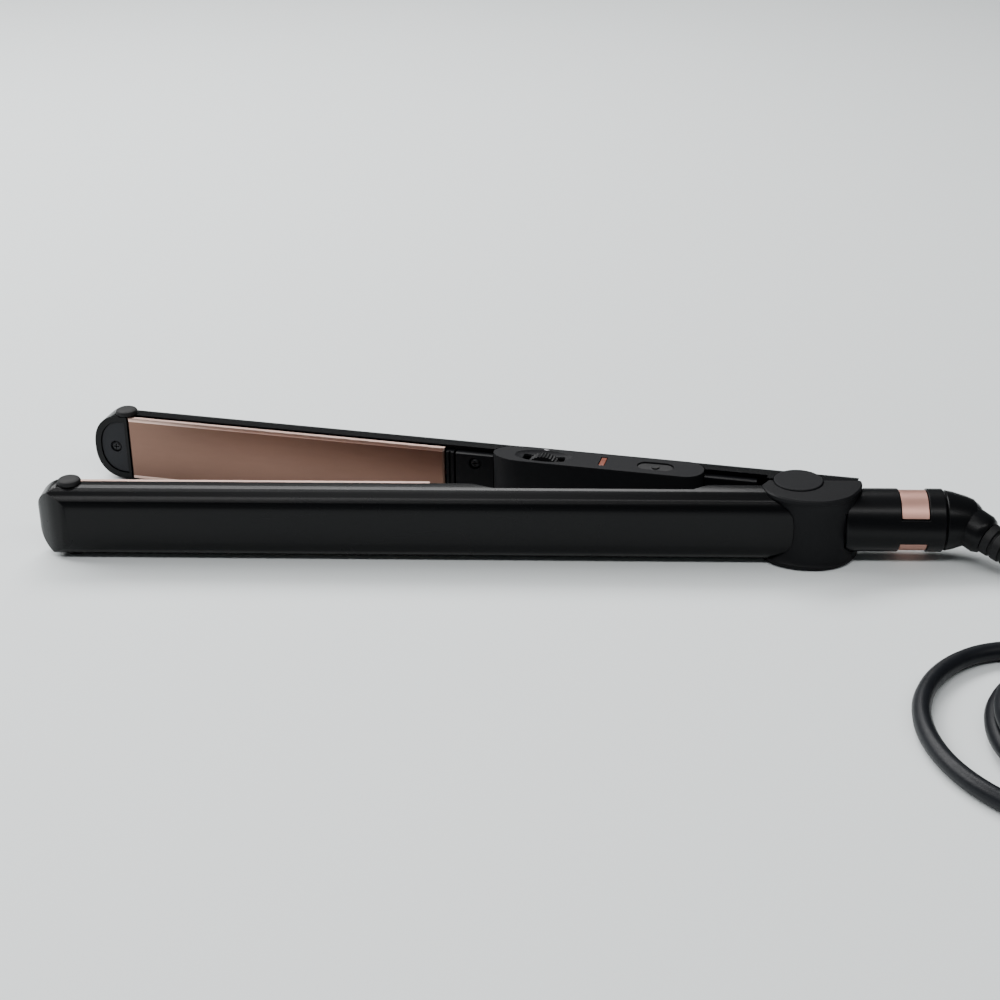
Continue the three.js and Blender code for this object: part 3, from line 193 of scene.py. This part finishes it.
def moulded(name, dark, light, roughness, grain, grain_height, wear=0.5, gloss=0.3):
    """Moulded plastic: spark-eroded grain, faint cloudiness, a little handling polish and lint."""
    shader = Shader(name, dark, roughness, Specular_IOR_Level=gloss)
    where = shader.place()
    cloud = shader.noise(where, 22, 4, 0.6)
    fine = shader.noise(where, grain, 2, 0.6)
    specks = shader.noise(where, 900, 1, 0.5)
    lint = (specks > 0.76) * 0.12
    mask = (cloud * 0.6 + fine * 0.4 + lint).clamp(0, 1)
    shader.colour(shader.blend(mask, rgba(dark), rgba(light)))
    polish = shader.noise(shader.place((0.35, 1, 1)), 46, 3, 0.55)
    shader.roughness((roughness - 0.09 * wear + polish * 0.18 * wear + lint).clamp(0.05, 1))
    shader.bump(fine, grain_height)
    return shader.material


def rose_gold(name, tone, streak, roughness, edge=None):
    """Coated aluminium, brushed one way, with heat tint and finger haze; past `edge` the bevels get a
    painted highlight, a bright gold base colour.
    """
    shader = Shader(name, tone, roughness, 1.0)
    brushed = shader.place(streak)
    lines = shader.noise(brushed, 420, 3, 0.65)
    broad = shader.noise(shader.place((0.5, 1, 1)), 16, 3, 0.5)
    haze = shader.noise(shader.place(), 60, 5, 0.6)
    deep = shade(0.82, tone)
    pale = tuple(min(1, c * 1.12) for c in tone)
    mask = (broad * 0.55 + lines * 0.45).clamp(0, 1)
    tint = shader.blend(mask, rgba(deep), rgba(pale))
    if edge is not None:
        # Painted highlight: bevels farther than edge from the middle height take the bright gold.
        painted_highlight_rim = shader.axis(shader.place(centre=(0, 0, MID_HEIGHT)), "Z").abs() > edge
        tint = shader.blend(painted_highlight_rim, tint, PAINTED_HIGHLIGHT_GOLD)
    shader.colour(tint)
    shader.roughness((roughness - 0.06 + lines * 0.07 + haze * 0.08).clamp(0.05, 1))
    shader.bump(lines, 0.000012)
    return shader.material


def bare_metal(name, tone, roughness, streak):
    """Bare or plated metal with turning marks and stains."""
    shader = Shader(name, tone, roughness, 1.0)
    lines = shader.noise(shader.place(streak), 500, 3, 0.6)
    stain = shader.noise(shader.place(), 180, 4, 0.6)
    shader.colour(shader.blend(stain, rgba(shade(0.7, tone)), rgba(tone)))
    shader.roughness((roughness - 0.05 + stain * 0.14 + lines * 0.05).clamp(0.05, 1))
    shader.bump(lines, 0.00001)
    return shader.material


def soft_rubber(name, dark, light, roughness):
    """Matt rubber with pores and a dusty bloom."""
    shader = Shader(name, dark, roughness, Specular_IOR_Level=0.25)
    where = shader.place()
    bloom = shader.noise(where, 70, 5, 0.65)
    pores = shader.noise(where, 2600, 2, 0.5)
    shader.colour(shader.blend(bloom, rgba(dark), rgba(light)))
    shader.roughness((roughness - 0.05 + bloom * 0.16).clamp(0, 1))
    shader.bump(pores * 0.7 + bloom * 0.3, 0.00003)
    return shader.material


def jacket(name, dark, light, roughness):
    """Extruded cord jacket: a fine pebble and faint scuffs along it."""
    shader = Shader(name, dark, roughness, Specular_IOR_Level=0.2)
    where = shader.place()
    scuff = shader.noise(where, 240, 4, 0.7)
    pebble = shader.noise(where, 1900, 2, 0.5)
    shader.colour(shader.blend((scuff * 0.8 + pebble * 0.2), rgba(dark), rgba(light)))
    shader.roughness((roughness - 0.08 + scuff * 0.2).clamp(0, 1))
    shader.bump(pebble, 0.00004)
    return shader.material


def fired_ceramic():
    shader = Shader("fired ceramic", (0.78, 0.75, 0.68), 0.6)
    grain = shader.noise(shader.place(), 700, 4, 0.6)
    shader.colour(shader.blend(grain, (0.66, 0.62, 0.54, 1), (0.86, 0.84, 0.78, 1)))
    shader.roughness(grain * 0.3 + 0.42)
    shader.bump(grain, 0.00003)
    return shader.material


def circuit_board():
    """Green laminate with copper tracks under the coat."""
    shader = Shader("board laminate", (0.02, 0.13, 0.06), 0.4)
    where = shader.place()
    tracks = shader.node(
        "ShaderNodeTexBrick",
        {"offset": 0.35},
        {
            "Vector": where,
            "Scale": 260,
            "Mortar Size": 0.06,
            "Color1": (0, 0, 0, 1),
            "Color2": (0.2, 0.2, 0.2, 1),
            "Mortar": (1, 1, 1, 1),
        },
        1,
    )
    weave = shader.noise(where, 1400, 2, 0.5)
    shader.colour(shader.blend(tracks, (0.015, 0.11, 0.05, 1), (0.05, 0.24, 0.1, 1)))
    shader.roughness(weave * 0.2 + 0.3)
    shader.bump(tracks + weave * 0.2, 0.00003)
    return shader.material


def tinted_lens():
    """Red-orange lens with a noisy colour flow and a faint painted glow: the lens gives off light of its
    own, brighter where the noise is high.
    """
    shader = Shader("red lens", (0.2, 0.06, 0.04), 0.3, Coat_Weight=0.4, Coat_Roughness=0.15)
    where = shader.place()
    flow = shader.noise(where, 420, 3, 0.5)
    shader.colour(shader.blend(flow, (0.15, 0.045, 0.03, 1), (0.27, 0.085, 0.055, 1)))
    shader.roughness(flow * 0.12 + 0.16)
    # Painted glow: the lens itself emits a faint red-orange light.
    painted_glow = shader.blend(flow, (0.5, 0.05, 0.01, 1), (1.0, 0.22, 0.06, 1))
    shader.tree.links.new(painted_glow.socket, shader.surface.inputs["Emission Color"])
    shader.surface.inputs["Emission Strength"].default_value = 0.03
    return shader.material


casing_black = moulded(
    "casing black",
    dark=(0.0012, 0.0013, 0.0017),
    light=(0.0032, 0.0034, 0.004),
    roughness=0.27,
    grain=1500,
    grain_height=0.00001,
    wear=0.35,
    gloss=0.16,
)
cover_black = moulded(
    "cover black",
    dark=(0.002, 0.0021, 0.0028),
    light=(0.005, 0.0052, 0.0064),
    roughness=0.5,
    grain=1800,
    grain_height=0.00002,
    wear=0.5,
    gloss=0.12,
)
tail_black = moulded(
    "tail black",
    dark=(0.0022, 0.0024, 0.0029),
    light=(0.005, 0.0052, 0.006),
    roughness=0.3,
    grain=1500,
    grain_height=0.00001,
    wear=0.4,
    gloss=0.15,
)
hub_black = moulded(
    "hub black",
    dark=(0.0045, 0.0047, 0.0053),
    light=(0.0085, 0.0087, 0.01),
    roughness=0.5,
    grain=2200,
    grain_height=0.00003,
    wear=0.5,
    gloss=0.11,
)
charcoal = moulded(
    "charcoal texture",
    dark=(0.0075, 0.0078, 0.0087),
    light=(0.015, 0.0153, 0.0171),
    roughness=0.55,
    grain=2400,
    grain_height=0.00003,
    wear=0.5,
    gloss=0.09,
)
insert_black = moulded(
    "insert texture",
    dark=(0.01, 0.0105, 0.013),
    light=(0.019, 0.02, 0.024),
    roughness=0.5,
    grain=2400,
    grain_height=0.00003,
    wear=0.5,
    gloss=0.2,
)
dial_black = moulded(
    "dial black",
    dark=(0.004, 0.004, 0.0046),
    light=(0.01, 0.01, 0.011),
    roughness=0.42,
    grain=2000,
    grain_height=0.00002,
    wear=0.5,
    gloss=0.25,
)
mark_pale = moulded(
    "printed mark",
    dark=(0.32, 0.32, 0.33),
    light=(0.44, 0.44, 0.45),
    roughness=0.55,
    grain=2000,
    grain_height=0.00001,
)
bumper_rubber = soft_rubber("bumper rubber", (0.006, 0.006, 0.0065), (0.015, 0.015, 0.0158), 0.6)
relief_rubber = soft_rubber("relief rubber", (0.0025, 0.0026, 0.003), (0.006, 0.0062, 0.007), 0.5)
plate_gold = rose_gold(
    "plate gold",
    tone=(0.2, 0.118, 0.09),
    streak=(0.02, 1, 1),
    roughness=0.32,
    # Past this height from the middle, the plate bevels get the painted highlight.
    edge=11.25 * MM,
)
inlay_gold = rose_gold("inlay gold", tone=(0.6, 0.345, 0.285), streak=(1, 0.03, 0.03), roughness=0.45)
zinc_steel = bare_metal("zinc steel", (0.5, 0.5, 0.51), 0.35, (1, 1, 1))
black_zinc = bare_metal("black zinc", (0.045, 0.045, 0.048), 0.4, (1, 1, 1))
spring_steel = bare_metal("spring steel", (0.42, 0.43, 0.45), 0.3, (1, 1, 0.2))
blade_brass = bare_metal("blade brass", (0.75, 0.58, 0.3), 0.28, (1, 0.05, 1))
cord_jacket = jacket("cord jacket", (0.0035, 0.004, 0.0055), (0.009, 0.0105, 0.014), 0.4)
lead_jacket = jacket("lead jacket", (0.25, 0.03, 0.025), (0.36, 0.06, 0.05), 0.5)
ceramic = fired_ceramic()
laminate = circuit_board()
red_lens = tinted_lens()
lamp_resin = moulded(
    "lamp resin",
    dark=(0.6, 0.5, 0.4),
    light=(0.75, 0.66, 0.56),
    roughness=0.2,
    grain=900,
    grain_height=0.00001,
)


# ---------------------------------------------------------------- piece helpers
BODY_OF = {node: body for body, nodes in frame["record"]["behaviour"]["bodies"].items() for node in nodes}


def finish_piece(shape, name, material, body):
    """Turns a bmesh into a piece that rides on a body."""
    mesh = bpy.data.meshes.new(name)
    shape.to_mesh(mesh)
    shape.free()
    mesh.materials.append(material)
    mesh.shade_smooth()
    piece = bpy.data.objects.new(name, mesh)
    scene.collection.objects.link(piece)
    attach(piece, body)
    return piece


def soften(piece, width, segments=3, angle=34):
    """Rounds the piece's sharp edges and keeps its flats flat."""
    edges = piece.modifiers.new("edges", "BEVEL")
    edges.width = width
    edges.segments = segments
    edges.limit_method = "ANGLE"
    edges.angle_limit = math.radians(angle)
    normals = piece.modifiers.new("flats", "WEIGHTED_NORMAL")
    normals.keep_sharp = True
    return piece


def finished(node, material, width=0.25 * MM, segments=3, angle=34):
    """A finished copy of a CAD part, with its edges rounded, in place of the part."""
    shape = bmesh.new()
    shape.from_mesh(frame["nodes"][node].data)
    bmesh.ops.remove_doubles(shape, verts=shape.verts, dist=0.002 * MM)
    bmesh.ops.dissolve_limit(shape, angle_limit=math.radians(0.5), verts=shape.verts, edges=shape.edges)
    bmesh.ops.dissolve_degenerate(shape, edges=shape.edges, dist=0.001 * MM)
    piece = finish_piece(shape, f"{node}_finished", material, BODY_OF[node])
    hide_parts(node)
    return soften(piece, width, segments, angle)


def carried(node, material):
    """A CAD part that is kept as it is, with its own material."""
    mesh = frame["nodes"][node].data
    mesh.materials.clear()
    mesh.materials.append(material)


# ---------------------------------------------------------------- cord
CORD_RADIUS = 3 * MM
FLOOR_LIE = 3.2 * MM
LIFTED_LIE = 3.4 * MM
COIL_CENTRE = Vector((87, -126, 0)) * MM
COIL_PITCH = 6.0 * MM
COIL_TURNS = 6.25
LOWER_OUTER = 45.6 * MM
UPPER_OUTER = 42.2 * MM
LOWER_TURNS = 2.6
UPPER_TURNS = 2.05
CLIMB = (2.7, 3.5)
CLIMB_MIDDLE = 3.1
LOWER_LAYER = 4.6 * MM
UPPER_LAYER = 10.6 * MM
SWIVEL = Vector((57, -3.2, 13.8)) * MM
CORD_WAY = Vector((0.7, -0.67, -0.25)).normalized()
SLEEVE_START = 11.8 * MM
SLEEVE_LENGTH = 25 * MM


def smooth_route(points, steps=8):
    """Points along a smooth line through the given ones."""
    line = []
    ends = [2 * points[0] - points[1]] + points + [2 * points[-1] - points[-2]]
    for a, b, c, d in zip(ends, ends[1:], ends[2:], ends[3:]):
        for k in range(steps):
            t = k / steps
            line.append(0.5 * (
                2 * b + (c - a) * t + (2 * a - 5 * b + 4 * c - d) * t ** 2 + (3 * b - a - 3 * c + d) * t ** 3
            ))
    line.append(points[-1])
    return line


def relaxed(line, spacing=3 * MM, passes=10):
    """The line at an even spacing, with its kinks eased and its ends held."""
    even = [line[0]]
    left = spacing
    for a, b in zip(line, line[1:]):
        span = (b - a).length
        while left <= span:
            even.append(a.lerp(b, left / span))
            left += spacing
        left -= span
    even.append(line[-1])
    for _ in range(passes):
        middle = [(a + 2 * b + c) / 4 for a, b, c in zip(even, even[1:], even[2:])]
        even = [even[0]] + middle + [even[-1]]
    return even


def coil_route():
    """Two layers of turns side by side, wound inward below and outward above."""
    line = []
    steps = 48
    climb_start, climb_end = CLIMB
    lower_inner = LOWER_OUTER - COIL_PITCH * LOWER_TURNS
    upper_inner = UPPER_OUTER - COIL_PITCH * UPPER_TURNS
    for k in range(1, round(COIL_TURNS * steps) + 1):
        turned = k / steps
        angle = math.radians(-90) + 2 * math.pi * turned
        if turned < CLIMB_MIDDLE:
            radius = LOWER_OUTER - COIL_PITCH * min(turned, LOWER_TURNS)
            height = LOWER_LAYER
        else:
            radius = UPPER_OUTER - COIL_PITCH * min(COIL_TURNS - turned, UPPER_TURNS)
            height = UPPER_LAYER
        if climb_start <= turned <= climb_end:
            share = (turned - climb_start) / (climb_end - climb_start)
            share = share * share * (3 - 2 * share)
            height = LOWER_LAYER + (UPPER_LAYER - LOWER_LAYER) * share
            radius = lower_inner + (upper_inner - lower_inner) * share
        line.append(COIL_CENTRE + Vector((radius * math.cos(angle), radius * math.sin(angle), height)))
    return line


def cord_route():
    """Down from the sleeve, round in front, once to the coil, and out to the plug."""
    start = SWIVEL + CORD_WAY * (SLEEVE_START + 1 * MM)
    sleeve_end = SWIVEL + CORD_WAY * (SLEEVE_START + SLEEVE_LENGTH)
    landing = (89.6, -37.9)
    floor = [
        (91.2, -47.4), (88.4, -59.2), (81, -68.6), (70.6, -73.5), (57, -74.5), (47.5, -77.8), (37.3, -86.9),
        (29.8, -99.2), (26.3, -113), (27.2, -130), (33.5, -147), (45, -161), (61, -170.5),
    ]
    coil_start = (74, -173.6)
    lying = [(landing, LIFTED_LIE), *((spot, FLOOR_LIE) for spot in floor), (coil_start, LIFTED_LIE)]
    run = [sleeve_end] + [Vector((x * MM, y * MM, height)) for (x, y), height in lying]
    coil = coil_route()
    whole = relaxed(smooth_route(run + coil[1:10:3])[:-1] + coil[10:])
    line = [start, start.lerp(sleeve_end, 0.5)] + whole
    plug_low, plug_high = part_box("plug_body")
    root = Vector(((plug_low.x + plug_high.x) / 2, plug_low.y, (plug_low.z + plug_high.z) / 2))
    last = line[-1]
    for share in (0.25, 0.5, 0.75, 1.0):
        line.append(last.lerp(root + Vector((0, 1 * MM, 0)), share))
    return line


def add_cord():
    route = cord_route()
    curve = bpy.data.curves.new("power_cord", "CURVE")
    curve.dimensions = "3D"
    curve.bevel_depth = CORD_RADIUS
    curve.bevel_resolution = 4
    curve.use_fill_caps = True
    line = curve.splines.new("POLY")
    line.points.add(len(route) - 1)
    for point, place in zip(line.points, route):
        point.co = (*place, 1)
    line.use_smooth = True
    curve.materials.append(cord_jacket)
    cord = bpy.data.objects.new("power_cord", curve)
    scene.collection.objects.link(cord)
    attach(cord, "cord_end")
    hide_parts("cord_run", "cord_coil")


# ---------------------------------------------------------------- pieces
for arm in ("front", "rear"):
    finished(f"{arm}_casing", casing_black, 0.35 * MM)
    finished(f"{arm}_tip_insert", insert_black, 0.2 * MM)
    finished(f"{arm}_inner_cover", cover_black, 0.3 * MM)
    finished(f"{arm}_end_block", cover_black, 0.2 * MM)
    finished(f"{arm}_heater_plate", plate_gold, 0.25 * MM)
    for side in ("upper", "lower"):
        finished(f"{arm}_{side}_bumper", bumper_rubber, 0.15 * MM)
        carried(f"{arm}_{side}_cover_screw", black_zinc)
    carried(f"{arm}_tip_screw", black_zinc)
    carried(f"{arm}_ceramic_heater", ceramic)
    carried(f"{arm}_plate_carrier", charcoal)
    carried(f"{arm}_plate_spring_a", spring_steel)
    carried(f"{arm}_plate_spring_b", spring_steel)
    carried(f"{arm}_heater_lead", lead_jacket)
finished("control_pod", charcoal, 0.3 * MM)
finished("dial", dial_black, 0.12 * MM)
finished("indicator_lens", red_lens, 0.15 * MM)
finished("power_button", dial_black, 0.3 * MM)
finished("hinge_hub", hub_black, 0.4 * MM)
finished("upper_hinge_cap", charcoal, 0.2 * MM)
finished("lower_hinge_cap", charcoal, 0.2 * MM)
finished("tail_barrel", tail_black, 0.25 * MM)
finished("upper_inlay", inlay_gold, 0.1 * MM)
finished("lower_inlay", inlay_gold, 0.1 * MM)
finished("swivel_cap", tail_black, 0.3 * MM)
finished("strain_relief", relief_rubber, 0.2 * MM)
finished("cord_tie", charcoal, 0.2 * MM)
finished("plug_body", bumper_rubber, 0.5 * MM)
carried("left_blade", blade_brass)
carried("right_blade", blade_brass)
carried("hinge_pin", zinc_steel)
carried("hinge_spring", spring_steel)
carried("swivel_bearing", cover_black)
carried("control_board", laminate)
carried("dial_sensor", laminate)
carried("indicator_lamp", lamp_resin)
carried("power_switch", cover_black)
add_cord()


# ---------------------------------------------------------------- small details
OPEN_ANGLE = math.radians(12.11)
POD_TOP = 26.8 * MM
KEY_PLACE = (-50.8, 1.5)
REAR_TURN = Matrix.Rotation(-OPEN_ANGLE, 4, "Z")


def rear_detail(shape, name, material):
    """A small piece shaped in the closed arm's frame, turned out with the arm."""
    bmesh.ops.transform(shape, matrix=REAR_TURN, verts=shape.verts)
    return finish_piece(shape, name, material, "rear_arm")


def plate_from(corners, low, high):
    """A thin solid with the given outline."""
    shape = bmesh.new()
    face = shape.faces.new([shape.verts.new((x * MM, y * MM, low)) for x, y in corners])
    raised = bmesh.ops.extrude_face_region(shape, geom=[face])["geom"]
    top = [v for v in raised if isinstance(v, bmesh.types.BMVert)]
    bmesh.ops.translate(shape, vec=(0, 0, high - low), verts=top)
    bmesh.ops.recalc_face_normals(shape, faces=shape.faces)
    return shape


def add_dial_pointer():
    corners = [(-92.7, 6.55), (-91.6, 6.0), (-90.5, 6.55), (-90.5, 6.9), (-92.7, 6.9)]
    rear_detail(plate_from(corners, POD_TOP - 0.02 * MM, POD_TOP + 0.05 * MM), "dial_pointer", mark_pale)


def add_key_mark():
    """Raised standby sign on the key: an open ring and a short bar."""
    x, y = KEY_PLACE
    top = POD_TOP - 0.5 * MM
    shape = bmesh.new()
    steps = 28
    ring = []
    for k in range(steps + 1):
        angle = math.radians(125 + 290 * k / steps)
        rows = []
        for radius, height in ((1.0, -0.05), (1.0, 0.12), (1.4, 0.12), (1.4, -0.05)):
            across = (x + radius * math.cos(angle)) * MM
            along = (y + radius * math.sin(angle)) * MM
            rows.append(shape.verts.new((across, along, top + height * MM)))
        ring.append(rows)
    for first, second in zip(ring, ring[1:]):
        for k in range(4):
            shape.faces.new((first[k], first[(k + 1) % 4], second[(k + 1) % 4], second[k]))
    shape.faces.new(ring[0])
    shape.faces.new(ring[-1])
    bmesh.ops.recalc_face_normals(shape, faces=shape.faces)
    ride = BODY_OF["power_button"]
    bmesh.ops.transform(shape, matrix=REAR_TURN, verts=shape.verts)
    finish_piece(shape, "key_sign_ring", dial_black, ride)
    bar = plate_from(
        [(x - 0.2, y + 0.2), (x + 0.2, y + 0.2), (x + 0.2, y + 1.7), (x - 0.2, y + 1.7)],
        top - 0.05 * MM,
        top + 0.12 * MM,
    )
    bmesh.ops.transform(bar, matrix=REAR_TURN, verts=bar.verts)
    finish_piece(bar, "key_sign_bar", dial_black, ride)


add_dial_pointer()
add_key_mark()


# ---------------------------------------------------------------- studio
def pale_floor():
    shader = Shader("pale floor", (0.8, 0.835, 0.84), 0.7)
    cloud = shader.noise(shader.place(), 3, 2, 0.5)
    shader.colour(shader.blend(cloud, (0.785, 0.822, 0.826, 1), (0.815, 0.85, 0.853, 1)))
    return shader.material


def add_floor():
    shape = bmesh.new()
    bmesh.ops.create_grid(shape, x_segments=1, y_segments=1, size=6)
    mesh = bpy.data.meshes.new("floor")
    shape.to_mesh(mesh)
    shape.free()
    mesh.materials.append(pale_floor())
    floor = bpy.data.objects.new("floor", mesh)
    scene.collection.objects.link(floor)


def add_light(name, place, aim, size, power):
    lamp = bpy.data.lights.new(name, "AREA")
    lamp.shape = "RECTANGLE"
    lamp.size, lamp.size_y = size
    lamp.energy = power
    light = bpy.data.objects.new(name, lamp)
    light.location = place
    light.rotation_mode = "QUATERNION"
    light.rotation_quaternion = (Vector(aim) - Vector(place)).to_track_quat("-Z", "Y")
    scene.collection.objects.link(light)


def add_studio():
    add_floor()
    add_light("back softbox", place=(-0.49, 0.8, 0.98), aim=(-0.3, 0, 0), size=(1.2, 0.42), power=18)
    add_light("top softbox", place=(-0.1, -0.55, 0.93), aim=(-0.1, 0, 0), size=(2.2, 0.15), power=8.5)
    add_light("overhead", place=(-0.3, 0.2, 1.7), aim=(-0.2, 0.2, 0), size=(3.0, 0.5), power=8)
    add_light("left softbox", place=(-1.4, 0.4, 1.1), aim=(-0.2, 0, 0), size=(0.8, 0.8), power=22)
    world = bpy.data.worlds.new("studio")
    world.use_nodes = True
    world.node_tree.nodes["Background"].inputs["Color"].default_value = (0.9, 0.95, 0.97, 1)
    world.node_tree.nodes["Background"].inputs["Strength"].default_value = 0.1
    scene.world = world


add_studio()
